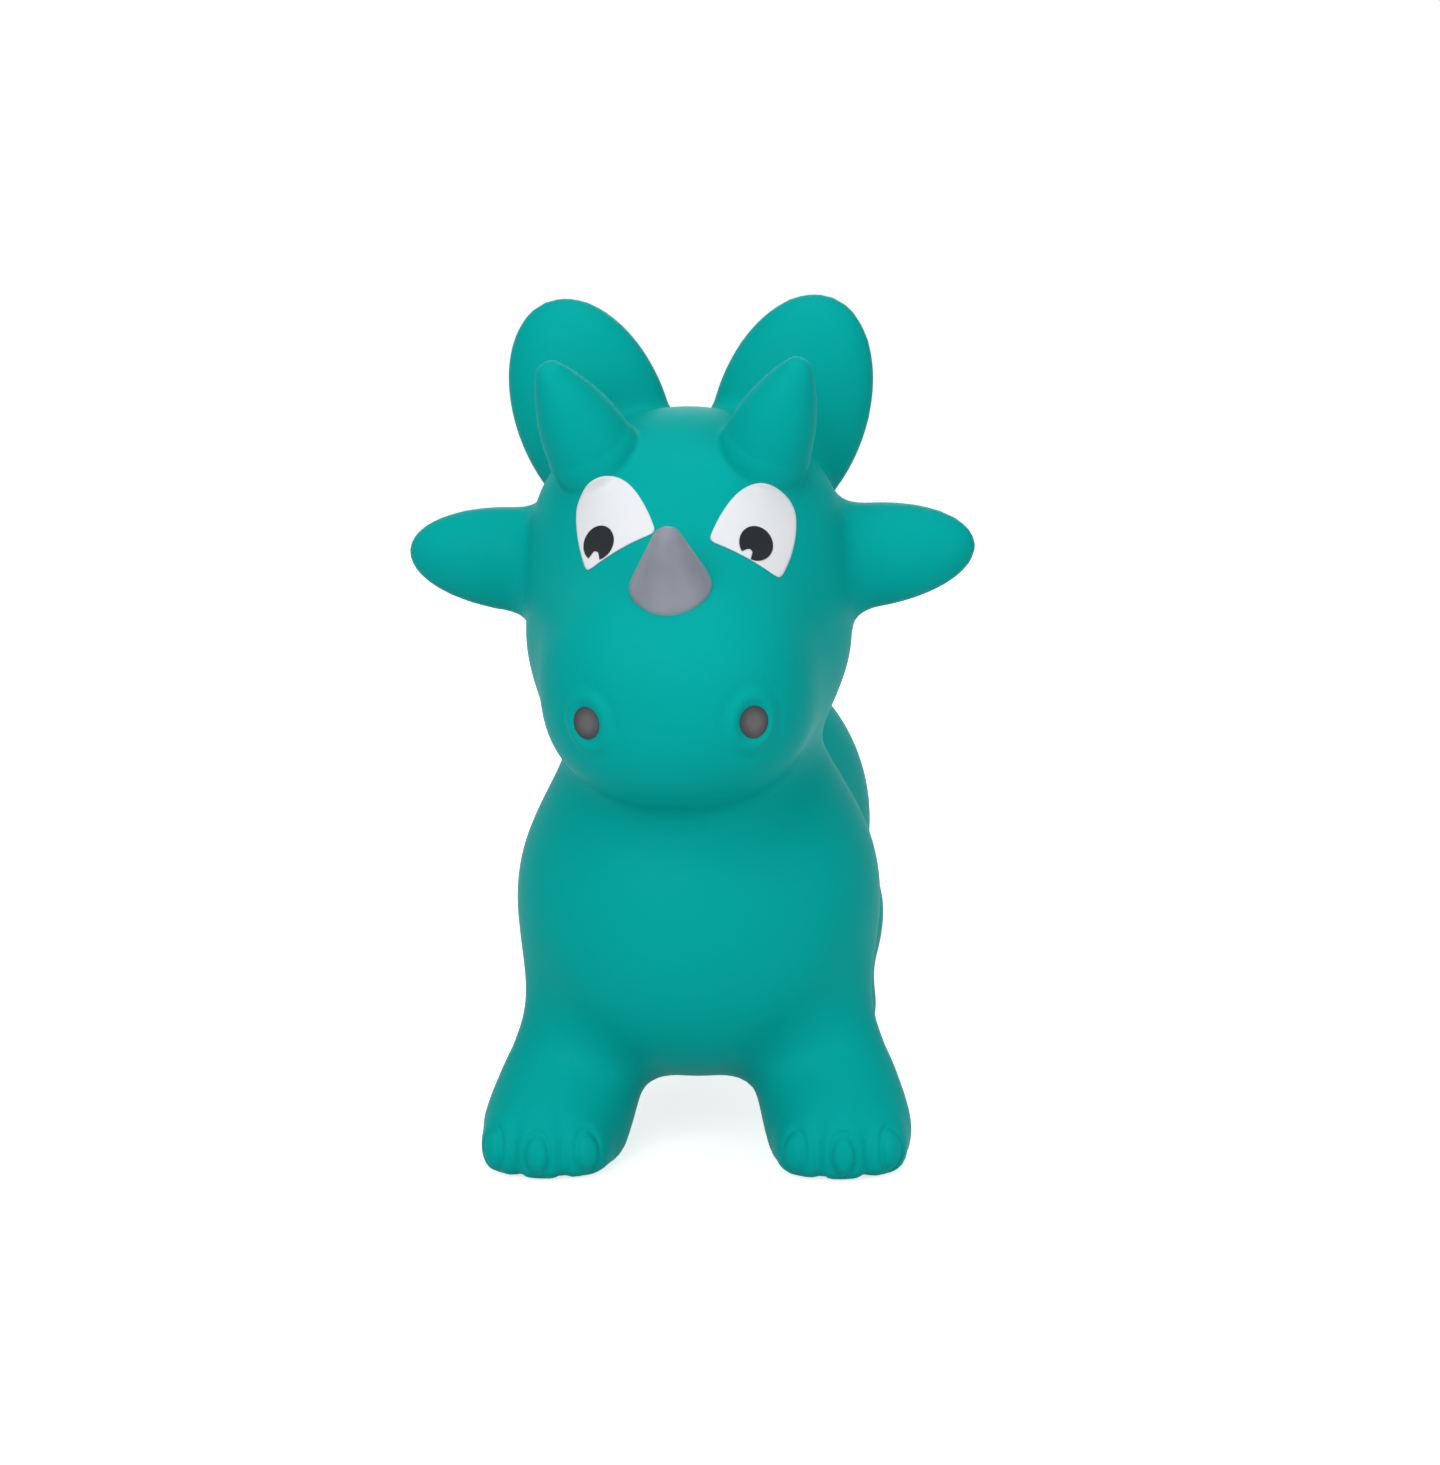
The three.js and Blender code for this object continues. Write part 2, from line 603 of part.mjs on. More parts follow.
// Nose horn: a cone with a round tip, whose foot follows the muzzle
function noseHorn() {
  const tipMiddle = HORN_HEIGHT - HORN_TIP_RADIUS;
  const flare = (HORN_BASE_RADIUS - HORN_TIP_RADIUS) / HORN_HEIGHT;
  const profile = [[0, -HORN_SKIRT], [HORN_BASE_RADIUS + flare * HORN_SKIRT, -HORN_SKIRT]];
  const ARC_STEPS = 5;
  for (let step = 0; step <= ARC_STEPS; step += 1) {
    const angle = Math.atan(flare) + (Math.PI / 2 - Math.atan(flare)) * (step / ARC_STEPS);
    profile.push([HORN_TIP_RADIUS * Math.cos(angle), tipMiddle + HORN_TIP_RADIUS * Math.sin(angle)]);
  }
  profile.at(-1)[0] = 0;
  const root = surfaceFrom(at(0, muzzle.y - HORN_AHEAD, muzzle.z), at(0, 0, 1));
  const geometry = turned(profile).rotateX(radians(HORN_TILT)).translate(root.x, root.y, root.z);
  return solidOf(geometry).subtract(grown(GAP));
}

// A paint mask held before the face: everything that lies behind the outline, back to the middle of the head
function paintMask(outline, x, rise) {
  const tilt = radians(EYE_MASK_TILT);
  const face = surfaceFrom(at(x, head.y, head.z + rise), at(0, -1, 0));
  const depth = 2 * (head.y - face.y);
  const geometry = new THREE.ExtrudeGeometry(outline, { depth, bevelEnabled: false, curveSegments: 10 });
  geometry.translate(0, 0, -depth / 2).rotateX(Math.PI / 2 - tilt).translate(x, face.y, face.z);
  return solidOf(geometry);
}

// Eye white: round above, cut below along the crease over the muzzle, with its inner corner near the horn
function eyeOutline(side) {
  const inner = -side * EYE_INNER_REACH;
  const outer = side * EYE_OUTER_REACH;
  const top = EYE_TOP_REACH;
  const foot = -EYE_FOOT_REACH;
  const outline = new THREE.Shape();
  outline.moveTo(inner, 0.16 * foot);
  outline.bezierCurveTo(0.83 * inner, 0.31 * top, 0.45 * inner, top, 0, top);
  outline.bezierCurveTo(0.57 * outer, top, outer, 0.69 * top, outer, 0.28 * top);
  outline.bezierCurveTo(outer, 0.21 * foot, 0.83 * outer, 0.64 * foot, 0.61 * outer, foot);
  outline.quadraticCurveTo(0.21 * inner, 0.45 * foot, inner, 0.16 * foot);
  return outline;
}

// Pupil: a leaning oval, with the round notch of a glint at its lower edge
function pupilMask(side) {
  const oval = new THREE.Shape();
  oval.absellipse(0, 0, PUPIL_WIDTH / 2, PUPIL_LENGTH / 2, 0, 2 * Math.PI, false, side * radians(PUPIL_LEAN));
  const glint = new THREE.Shape();
  glint.absarc(-GLINT_ASIDE, -GLINT_DROP, GLINT_RADIUS, 0, Math.PI, false);
  glint.lineTo(-GLINT_ASIDE - GLINT_RADIUS, -GLINT_DROP - PUPIL_LENGTH);
  glint.lineTo(-GLINT_ASIDE + GLINT_RADIUS, -GLINT_DROP - PUPIL_LENGTH);
  const x = (side * PUPIL_SPAN) / 2;
  return paintMask(oval, x, PUPIL_RISE).subtract(paintMask(glint, x, PUPIL_RISE));
}

function paintFilm(mask, under) {
  return grown(under + FILM).intersect(mask).subtract(grown(under));
}

// Nostril paint: an oval film in the bottom of the dent
function nostrilPaint({ rim, facing, middle }) {
  const oval = new THREE.Shape();
  oval.absellipse(0, 0, NOSTRIL_WIDTH / 2, NOSTRIL_LENGTH / 2, 0, 2 * Math.PI);
  const depth = 2 * NOSTRIL_HOLLOW_DEPTH;
  const geometry = new THREE.ExtrudeGeometry(oval, { depth, bevelEnabled: false, curveSegments: 8 });
  geometry.translate(0, 0, -depth);
  const basis = new THREE.Matrix4().lookAt(facing, at(0, 0, 0), at(0, 0, 1)).setPosition(rim);
  const film = ball(NOSTRIL_HOLLOW_RADIUS - GAP, middle).subtract(ball(NOSTRIL_HOLLOW_RADIUS - GAP - FILM, middle));
  return film.intersect(solidOf(geometry.applyMatrix4(basis)));
}

// Valve bush: a flange against the pocket's floor, and a tube up through the skin
function valveBush() {
  const bore = PLUG_STEM_RADIUS + GAP;
  const flangeTop = -GAP;
  return turned([
    [bore, flangeTop - VALVE_FLANGE],
    [VALVE_FLANGE_RADIUS, flangeTop - VALVE_FLANGE],
    [VALVE_FLANGE_RADIUS, flangeTop],
    [VALVE_TUBE_RADIUS, flangeTop],
    [VALVE_TUBE_RADIUS, VALVE_TUBE_LENGTH],
    [bore, VALVE_TUBE_LENGTH],
    [bore, flangeTop - VALVE_FLANGE],
  ]);
}

// Plug: a thin head that lies under the flange, and a stem with a bevelled nose
function valvePlug() {
  const headTop = -VALVE_FLANGE - 2 * GAP;
  const stemTop = headTop + PLUG_STEM_LENGTH;
  return turned([
    [0, headTop - PLUG_HEAD],
    [PLUG_HEAD_RADIUS, headTop - PLUG_HEAD],
    [PLUG_HEAD_RADIUS, headTop],
    [PLUG_STEM_RADIUS, headTop],
    [PLUG_STEM_RADIUS, stemTop - PLUG_NOSE],
    [PLUG_STEM_RADIUS - PLUG_NOSE, stemTop],
    [0, stemTop],
  ]);
}

const hopper = new THREE.Group();
function addPiece(name, geometry, finish, parent = hopper) {
  const piece = new THREE.Mesh(geometry, new THREE.MeshStandardMaterial(finish));
  piece.name = name;
  parent.add(piece);
}

addPiece('body_skin', geometryOf(bodySkin()), PVC_TEAL);
addPiece('nose_horn', geometryOf(noseHorn()), HORN_GREY);
for (const [name, side] of Object.entries(SIDES)) {
  const eyeX = (side * EYE_SPAN) / 2 + STENCIL_SHIFT;
  const eyeMask = paintMask(eyeOutline(side), eyeX, EYE_RISE - side * STENCIL_DROP);
  addPiece(`${name}_eye_white`, geometryOf(paintFilm(eyeMask, GAP)), EYE_WHITE);
  addPiece(`${name}_pupil`, geometryOf(paintFilm(pupilMask(side), 2 * GAP + FILM)), PUPIL_BLACK);
  addPiece(`${name}_nostril`, geometryOf(nostrilPaint(dents[name])), NOSTRIL_BROWN);
}

const valve = new THREE.Group();
valve.position.copy(valveSeat);
hopper.add(valve);
addPiece('valve_bush', valveBush(), VALVE_PVC, valve);
addPiece('valve_plug', valvePlug(), PLUG_PVC, valve);

export default hopper;
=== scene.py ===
"""Looks of the dinosaur hopper: an inflatable animal of teal PVC, with a grey nose horn and painted eyes."""
import math

import bmesh
import bpy
import numpy as np
from mathutils import Matrix, Vector


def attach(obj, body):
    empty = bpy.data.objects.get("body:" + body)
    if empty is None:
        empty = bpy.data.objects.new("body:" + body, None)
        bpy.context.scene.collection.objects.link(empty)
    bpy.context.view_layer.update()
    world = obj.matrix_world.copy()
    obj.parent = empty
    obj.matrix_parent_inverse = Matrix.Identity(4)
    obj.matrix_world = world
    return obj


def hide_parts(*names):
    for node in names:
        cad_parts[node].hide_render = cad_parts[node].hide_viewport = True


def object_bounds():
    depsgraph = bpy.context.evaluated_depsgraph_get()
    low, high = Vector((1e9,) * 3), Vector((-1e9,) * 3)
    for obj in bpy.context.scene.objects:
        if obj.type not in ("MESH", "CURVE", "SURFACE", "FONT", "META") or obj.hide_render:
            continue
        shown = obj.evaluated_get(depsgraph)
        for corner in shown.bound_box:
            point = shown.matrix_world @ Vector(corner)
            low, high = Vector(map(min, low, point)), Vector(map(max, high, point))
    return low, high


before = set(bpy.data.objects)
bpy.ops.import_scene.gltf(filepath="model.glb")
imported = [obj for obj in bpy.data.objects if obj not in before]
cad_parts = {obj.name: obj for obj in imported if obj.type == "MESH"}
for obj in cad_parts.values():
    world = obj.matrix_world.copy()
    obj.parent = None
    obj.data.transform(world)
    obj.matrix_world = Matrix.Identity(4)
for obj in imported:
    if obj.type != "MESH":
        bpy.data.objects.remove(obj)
cad_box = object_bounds()

# Skin. The real piece is one hollow moulding of soft PVC, cast in a rotating mould and kept tight by air.
# Every form swells into the next with a soft fillet, so it is built here as rounded lumps that are blended,
# in millimetres, and then drawn over with a fine net of faces.


def egg(centre, size, squareness=2.0, lean=0.0):
    """A rounded lump: how far points are outside it. The lean is sideways, in degrees."""
    half = np.array(size) / 2
    cosine, sine = math.cos(math.radians(lean)), math.sin(math.radians(lean))

    def distance(p):
        q = p - np.array(centre)
        across = q[..., 0] * cosine - q[..., 2] * sine
        up = q[..., 0] * sine + q[..., 2] * cosine
        u = np.abs(np.stack([across, q[..., 1], up], -1)) / half
        total = np.maximum((u**squareness).sum(-1), 1e-9)
        slope = np.sqrt(((u ** (squareness - 1) / half) ** 2).sum(-1))
        return (total ** (1 / squareness) - 1) / np.maximum(slope * total ** (1 / squareness - 1), 1e-9)

    return distance


def taper(start, end, start_thickness, end_thickness, swell=0.0):
    """A cone between two balls, thicker than a straight one by its swell halfway."""
    axis = np.array(end) - np.array(start)
    length = np.linalg.norm(axis)
    axis = axis / length
    low, high = start_thickness / 2, end_thickness / 2
    sine = (low - high) / length
    cosine = math.sqrt(1 - sine * sine)

    def distance(p):
        q = p - np.array(start)
        along = q @ axis
        aside = np.sqrt(np.maximum((q * q).sum(-1) - along * along, 0))
        share = np.clip(along - aside * sine / cosine, 0, length) / length
        radius = low + (high - low) * share + 2 * swell * share * (1 - share)
        return np.hypot(along - share * length, aside) - radius

    return distance


def join(first, second, fillet):
    """Two forms as one, with a fillet where they meet."""

    def distance(p):
        a, b = first(p), second(p)
        overlap = np.maximum(fillet - np.abs(a - b), 0)
        return np.minimum(a, b) - overlap * overlap / (4 * fillet)

    return distance


# Middles of the chest, the rump, the head and the muzzle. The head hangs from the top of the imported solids.
lowest, highest = (np.array(corner) * 1000 for corner in cad_box)
CHEST = np.array([0, -92, 160])
RUMP = np.array([0, 124, 164])
HEAD = np.array([0, -116, highest[2] - 146])
MUZZLE = HEAD + (0, -74, -82)
BROW_ROOT = HEAD + (53, -44, 56)
TOE_FAN, TOE_LEVEL, TOE_SIZE = 34, 16.4, (42, 42, 45.2)
TOE_FILLET, PAW_FILLET, SOLE_ROUNDING = 6, 9, 8
toes, valleys = [], []


def paw(middle, size, turn, reach):
    """A paw with three toes in a fan; the toes are kept for their nails, and the valleys between them."""
    form = None
    for step in (-1, 0, 1):
        angle = math.radians(turn + TOE_FAN * step)
        forward = np.array([math.sin(angle), -math.cos(angle), 0])
        place = np.array(middle) + reach * forward
        place[2] = TOE_LEVEL
        toe = egg(place, TOE_SIZE)
        form = join(form, toe, TOE_FILLET) if form else toe
        toes.append((place, forward))
    for step in (-0.5, 0.5):
        angle = math.radians(turn + TOE_FAN * step)
        valleys.append((np.array(middle), np.array([math.cos(angle), math.sin(angle), 0])))
    return join(egg(middle, size), form, PAW_FILLET)


chest = egg(CHEST, (238, 244, 234), squareness=2.08)
rump = egg(RUMP, (211, 236, 242))
tail = taper(RUMP + (0, 72, 0), RUMP + (0, 138, 42), 112, 36)
thigh = egg(RUMP + (71, 16, -72), (80, 120, 92))
front_leg = taper(CHEST + (61, -20, -48), CHEST + (82, -36, -112), 84, 88)
front_paw = paw(CHEST + (92.5, -60, -140.5), (93, 104, 89), 5, 36)
hind_leg = taper(RUMP + (66, 0, -72), RUMP + (66, -4, -130), 76, 76)
hind_paw = paw(RUMP + (66, -14, -144.5), (76, 100, 89), 2, 30)
neck = taper(CHEST + (0, 0, 55), HEAD + (0, 0, -84), 152, 160)
cranium = egg(HEAD, (198, 176, 160))
cheeks = egg(HEAD + (0, 0, -66), (206, 164, 144))
frill_lobe = egg(HEAD + (64.5, 52, 70), (99, 52, 158), lean=20)
ear = egg(HEAD + (108, 24, -20), (150, 50, 68), lean=-6)
muzzle = egg(MUZZLE, (173, 180, 154), squareness=2.3)
brow_horn = taper(BROW_ROOT, HEAD + (75, -67, 106), 58, 21, swell=6)
torso = join(join(chest, rump, 90), tail, 50)
legs = join(join(join(torso, thigh, 26), front_leg, 26), front_paw, 20)
legs = join(join(legs, hind_leg, 26), hind_paw, 20)
front_of_head = join(join(cranium, cheeks, 40), muzzle, 42)
skull = join(join(front_of_head, frill_lobe, 15), ear, 20)
body = join(join(join(legs, neck, 36), skull, 30), brow_horn, 4)


def plain_skin(p):
    """The moulding without its small relief; both sides are alike, and the floor cuts the paws flat."""
    p = np.concatenate([np.abs(p[..., :1]), p[..., 1:]], -1)
    inside, below = body(p), -p[..., 2]
    overlap = np.maximum(SOLE_ROUNDING - np.abs(inside - below), 0)
    return np.maximum(inside, below) + overlap * overlap / (4 * SOLE_ROUNDING)


def slope_of(form, p, step=0.25):
    """The way in which the distance to a form grows at each point."""
    steps = step * np.eye(3)
    return np.stack([form(p + s) - form(p - s) for s in steps], -1) / (2 * step)


def reach_skin(form, start, direction, far=120.0, strides=80, caution=0.8):
    """The first points of the surface on straight ways from outside, in strides shorter than the gap."""
    p = np.array(start, float)
    way = np.zeros(p.shape[:-1])
    for _ in range(strides):
        way = np.minimum(way + caution * form(p + way[..., None] * direction), far)
    return p + way[..., None] * direction


def unit(v):
    """Directions of length one."""
    return v / np.linalg.norm(v, axis=-1, keepdims=True)


def seat_frame(start, direction):
    """A place on the skin with its outward direction, the way up along the skin and the way aside."""
    place = reach_skin(plain_skin, np.array(start, float), np.array(direction, float))
    out = unit(slope_of(plain_skin, place))
    aside = unit(np.cross([0, 0, 1], out))
    return place, out, np.cross(out, aside), aside


# Small relief in millimetres: raised nails with a groove round them, valleys between the toes that fade out
# upwards, and nostrils with a dent, a soft rim and a shallow ring round it. The seats are found from points
# outside the skin.
NAIL_HALF_WIDTH, NAIL_HALF_LENGTH, NAIL_RISE, NAIL_GROOVE, NAIL_LEVEL = 7.1, 12.2, 1.9, 1.3, 19
VALLEY_HALF_WIDTH, VALLEY_DEPTH, VALLEY_TOP, VALLEY_FADE = 3.4, 1.6, 56, 30
VALLEY_START, VALLEY_END, VALLEY_ASIDE, NAIL_ROOM, NOSTRIL_ROOM = 24, 80, 60, 12, 25
# Shares of a nail's half size: its flat middle, and where the groove lies and how wide it is
NAIL_FLAT, GROOVE_PLACE, GROOVE_HALF_WIDTH = 0.5, 1.16, 0.18
RIM_RADIUS, RIM_RISE, RING_RADIUS, RING_DEPTH, RIM_HALF_WIDTH = 14.0, 1.2, 20.0, 0.5, 3.0
DENT_RADIUS, DENT_DEPTH = 12.0, 2.8
NOSTRIL_ASIDE, NOSTRIL_LEVEL = 50.5, MUZZLE[2] - 12.5
BEFORE_FACE, BEFORE_TOE = -330, 60
nail_seats = [
    seat_frame((*(place + BEFORE_TOE * forward)[:2], NAIL_LEVEL), -forward) for place, forward in toes
]
nostril_seat = seat_frame((NOSTRIL_ASIDE, BEFORE_FACE, NOSTRIL_LEVEL), (0, 1, 0))


def relief(p):
    """How far nails, valleys between toes and the nostril's rim stand above the plain form."""
    height = np.zeros(p.shape[:-1])
    for middle, aside in valleys:
        q = p - middle
        in_front = (q[..., 1] < -VALLEY_START) & (q[..., 1] > -VALLEY_END)
        in_front &= np.abs(q[..., 0]) < VALLEY_ASIDE
        fade = np.clip((VALLEY_TOP - p[..., 2]) / VALLEY_FADE, 0, 1)
        height -= VALLEY_DEPTH * in_front * fade * np.exp(-((q @ aside / VALLEY_HALF_WIDTH) ** 2))
    for place, out, up, aside in nail_seats:
        q = p - place
        near = np.abs(q @ out) < NAIL_ROOM
        oval = np.sqrt((q @ aside / NAIL_HALF_WIDTH) ** 2 + (q @ up / NAIL_HALF_LENGTH) ** 2)
        pad = NAIL_RISE * (1 - np.clip((oval - NAIL_FLAT) / (1 - NAIL_FLAT), 0, 1) ** 2)
        groove = NAIL_GROOVE * np.exp(-(((oval - GROOVE_PLACE) / GROOVE_HALF_WIDTH) ** 2))
        height += near * (pad * (oval < 1) - groove)
    place, out, up, aside = nostril_seat
    q = p - place
    round_off = np.sqrt((q @ aside) ** 2 + (0.85 * (q @ up)) ** 2)
    rim = RIM_RISE * np.exp(-(((round_off - RIM_RADIUS) / RIM_HALF_WIDTH) ** 2))
    ring = RING_DEPTH * np.exp(-(((round_off - RING_RADIUS) / RIM_HALF_WIDTH) ** 2))
    dent = DENT_DEPTH * (1 - np.clip(round_off / DENT_RADIUS, 0, 1) ** 2) ** 1.2
    return height + (np.abs(q @ out) < NOSTRIL_ROOM) * (rim - ring - dent)


def skin(p):
    """The moulding with its relief, which is alike on both sides."""
    return plain_skin(p) - relief(np.concatenate([np.abs(p[..., :1]), p[..., 1:]], -1))


def settle(form, p):
    """Points near a surface, drawn onto it in a few steps along its slope."""
    for _ in range(4):
        slope = slope_of(form, p)
        p = p - (form(p) / np.maximum((slope * slope).sum(-1), 0.2))[..., None] * slope
    return p


def net_over(form, low, high, cell):
    """One point in each cell that the surface crosses, and a face round each grid edge that it crosses."""
    right = np.arange(cell / 2, high[0] + cell, cell)
    along = np.arange(low[1] - cell, high[1] + cell, cell)
    lines = [right, along, np.arange(-cell / 2, high[2] + cell, cell)]
    half = np.concatenate([form(np.stack(np.meshgrid([x], *lines[1:], indexing="ij"), -1)) for x in right])
    value = np.concatenate([half[::-1], half])
    lines[0] = np.concatenate([-right[::-1], right])
    grid = np.stack(np.meshgrid(*lines, indexing="ij"), -1)
    counts = np.array(value.shape)
    total = np.zeros((*(counts - 1), 3))
    crossings = np.zeros(counts - 1)
    edges = []
    for axis in range(3):
        first = [slice(None)] * 3
        second = [slice(None)] * 3
        first[axis], second[axis] = slice(0, -1), slice(1, None)
        a, b = value[tuple(first)], value[tuple(second)]
        crossed = (a < 0) != (b < 0)
        point = grid[tuple(first)].copy()
        point[..., axis] += np.where(crossed, a / np.where(crossed, a - b, 1), 0) * cell
        edges.append((crossed, a < 0))
        others = [(axis + 1) % 3, (axis + 2) % 3]
        for offsets in ((0, 0), (0, 1), (1, 0), (1, 1)):
            part = [slice(None)] * 3
            for other, offset in zip(others, offsets):
                part[other] = slice(offset, counts[other] - 1 + offset)
            total += np.where(crossed[tuple(part)][..., None], point[tuple(part)], 0)
            crossings += crossed[tuple(part)]
    used = crossings > 0
    number = np.full(used.shape, -1)
    number[used] = np.arange(used.sum())
    faces = []
    for axis, (crossed, leaves) in enumerate(edges):
        b, c = (axis + 1) % 3, (axis + 2) % 3
        inner = [slice(None)] * 3
        inner[b], inner[c] = slice(1, -1), slice(1, -1)
        place = np.argwhere(crossed[tuple(inner)])
        place[:, b] += 1
        place[:, c] += 1
        ring = []
        for step_b, step_c in ((-1, -1), (0, -1), (0, 0), (-1, 0)):
            cell_place = place.copy()
            cell_place[:, b] += step_b
            cell_place[:, c] += step_c
            ring.append(number[tuple(cell_place.T)])
        ring = np.stack(ring, 1)
        faces.append(np.where(leaves[tuple(place.T)][:, None], ring, ring[:, ::-1]))
    return total[used] / crossings[used][:, None], np.concatenate(faces)


def add_mesh(name, points, faces, material, replaced, body_name="hopper"):
    """A smooth piece from points in millimetres, which rides a body and stands for a node of the solids."""
    mesh = bpy.data.meshes.new(name)
    mesh.from_pydata((np.array(points) / 1000).tolist(), [], [list(map(int, f)) for f in faces])
    mesh.validate()
    mesh.shade_smooth()
    mesh.materials.append(material)
    piece = bpy.data.objects.new(name, mesh)
    bpy.context.scene.collection.objects.link(piece)
    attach(piece, body_name)
    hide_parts(replaced)
    return piece


def linear(code):
    """An sRGB hex colour as the linear values that a socket takes."""
    channels = [int(code[i : i + 2], 16) / 255 for i in (1, 3, 5)]
    return [c / 12.92 if c <= 0.04045 else ((c + 0.055) / 1.055) ** 2.4 for c in channels] + [1.0]


def add_node(material, kind, inputs, **settings):
    """A node with its settings; each input is a value, or the socket that it is linked from."""
    tree = material.node_tree
    node = tree.nodes.new(kind)
    for key, value in settings.items():
        setattr(node, key, value)
    for key, value in inputs.items():
        if isinstance(value, bpy.types.NodeSocket):
            tree.links.new(value, node.inputs[key])
        else:
            node.inputs[key].default_value = value
    return node


def plain_material(name, code, roughness, specular):
    """A material of one colour and gloss, with its shader."""
    material = bpy.data.materials.new(name)
    material.use_nodes = True
    shader = material.node_tree.nodes["Principled BSDF"]
    shader.inputs["Base Color"].default_value = linear(code)
    shader.inputs["Roughness"].default_value = roughness
    shader.inputs["Specular IOR Level"].default_value = specular
    return material, shader


# Sizes in millimetres: the clouds of uneven colour, and the grain that the mould's blasted wall leaves. The
# real grain is about a tenth of a millimetre, too fine to show, so it is drawn nine times as coarse.
CLOUD, GRAIN, GRAIN_HEIGHT = 90.0, 0.9, 0.2
# Shares, not sizes: how strongly the grain shows, and how far the gloss strays to either side
GRAIN_STRENGTH, GLOSS_SPREAD = 0.12, 0.05


def grained(name, code, shade, roughness, specular, cloud_size=CLOUD, grain_size=GRAIN):
    """A matt plastic or paint with a fine grain, a little uneven in colour and gloss."""
    material, shader = plain_material(name, code, roughness, specular)
    place = add_node(material, "ShaderNodeTexCoord", {}).outputs["Object"]
    cloud = add_node(
        material, "ShaderNodeTexNoise", {"Vector": place, "Scale": 1000 / cloud_size, "Detail": 3.0}
    )
    tone = add_node(
        material,
        "ShaderNodeMix",
        {"Factor": cloud.outputs["Fac"], "A": linear(code), "B": linear(shade)},
        data_type="RGBA",
    )
    tree = material.node_tree
    tree.links.new(tone.outputs[2], shader.inputs["Base Color"])
    grain = add_node(
        material, "ShaderNodeTexNoise", {"Vector": place, "Scale": 1000 / grain_size, "Detail": 2.0}
    )
    bump = add_node(
        material,
        "ShaderNodeBump",
        {"Height": grain.outputs["Fac"], "Strength": GRAIN_STRENGTH, "Distance": GRAIN_HEIGHT / 1000},
    )
    tree.links.new(bump.outputs["Normal"], shader.inputs["Normal"])
    rub = add_node(
        material,
        "ShaderNodeMapRange",
        {
            "Value": cloud.outputs["Fac"],
            "To Min": roughness - GLOSS_SPREAD,
            "To Max": roughness + GLOSS_SPREAD,
        },
    )
    tree.links.new(rub.outputs["Result"], shader.inputs["Roughness"])
    return material


# Soft PVC out of a blasted mould: an even, matt teal with hardly any gloss, so the eye sees soft shading
teal_pvc = grained("soft_pvc_teal", "#03aca7", "#03a49e", 0.5, 0.02)
SKIN_CELL = 4.5
points, faces = net_over(skin, lowest, highest, SKIN_CELL)
points = settle(skin, points)

# The small relief gets faces of about a millimetre: the nails, the nostrils and the roots of the brow horns
build = bmesh.new()
build_points = [build.verts.new(p) for p in points]
for face in faces:
    build.faces.new([build_points[i] for i in face])
brow_seat = reach_skin(plain_skin, np.array([45, BEFORE_FACE, HEAD[2] + 42]), np.array([0, 1.0, 0]))
details = [(place, 19) for place, *_ in nail_seats]
details += [(nostril_seat[0], 28), (brow_seat, 24), (BROW_ROOT, 42)]
# Both sides are alike, so the points are folded onto the right side to see which are close
half_points = np.abs(points * [1, 0, 0]) + points * [0, 1, 1]
close = np.zeros(len(points), bool)
for place, room in details:
    close |= np.linalg.norm(half_points - place, axis=1) < room
fine = {build_points[i] for i in np.flatnonzero(close)}
edges = {edge for vert in fine for edge in vert.link_edges if edge.other_vert(vert) in fine}
bmesh.ops.subdivide_edges(build, edges=list(edges), cuts=3, use_grid_fill=True)
for vert, point in zip(build.verts, settle(skin, np.array([v.co for v in build.verts]))):
    vert.co = point

# The valve pocket: a round piece of the belly is taken out, and a rim, a wall and a floor with the valve
# hole are set in, ring by ring
VALVE = np.array([0, 20, 10.0])
UPWARD = np.array([0, 0, 1.0])
POCKET_RADIUS, POCKET_DEPTH, HOLE_RADIUS, WALL = 15.3, 5.3, 9.3, 2.2
POCKET_TURNS, POCKET_ROOM = 64, 8
belly = reach_skin(plain_skin, VALVE, UPWARD)[2]
pocket_angles = np.linspace(0, 2 * math.pi, POCKET_TURNS, endpoint=False)
circle = np.stack([np.cos(pocket_angles), np.sin(pocket_angles), np.zeros(POCKET_TURNS)], 1)
loops = []
for wider, rise in ((5, 0), (1.4, 0), (0.5, 0.2), (0.1, 0.7), (0, 1.4)):
    on_belly = reach_skin(plain_skin, VALVE + (POCKET_RADIUS + wider) * circle, UPWARD)
    loops.append(on_belly + rise * UPWARD)
pocket_floor = np.array([*VALVE[:2], belly + POCKET_DEPTH])
for radius, rise in (
    (POCKET_RADIUS, -0.5),
    (POCKET_RADIUS - 0.5, 0),
    (HOLE_RADIUS + 0.4, 0),
    (HOLE_RADIUS, 0.4),
    (HOLE_RADIUS, WALL),
):
    loops.append(pocket_floor + radius * circle + rise * UPWARD)
cut_middle, cut_radius = (*VALVE[:2], belly), POCKET_RADIUS + POCKET_ROOM
taken = [v for v in build.verts if np.linalg.norm(np.array(v.co) - cut_middle) < cut_radius]
bmesh.ops.delete(build, geom=taken, context="VERTS")
rim = [edge for edge in build.edges if edge.is_boundary]
loops = [[build.verts.new(p) for p in loop] for loop in loops]
for outer, inner in zip(loops, loops[1:]):
    for i in range(POCKET_TURNS):
        j = (i + 1) % POCKET_TURNS
        build.faces.new((outer[i], inner[i], inner[j], outer[j]))
rim += [build.edges.get((loops[0][i - 1], loops[0][i])) for i in range(POCKET_TURNS)]
bmesh.ops.bridge_loops(build, edges=rim)
bmesh.ops.recalc_face_normals(build, faces=build.faces)
build.verts.index_update()
points = np.array([v.co for v in build.verts])
faces = [[v.index for v in face.verts] for face in build.faces]
build.free()
add_mesh("skin", points, faces, teal_pvc, "body_skin")

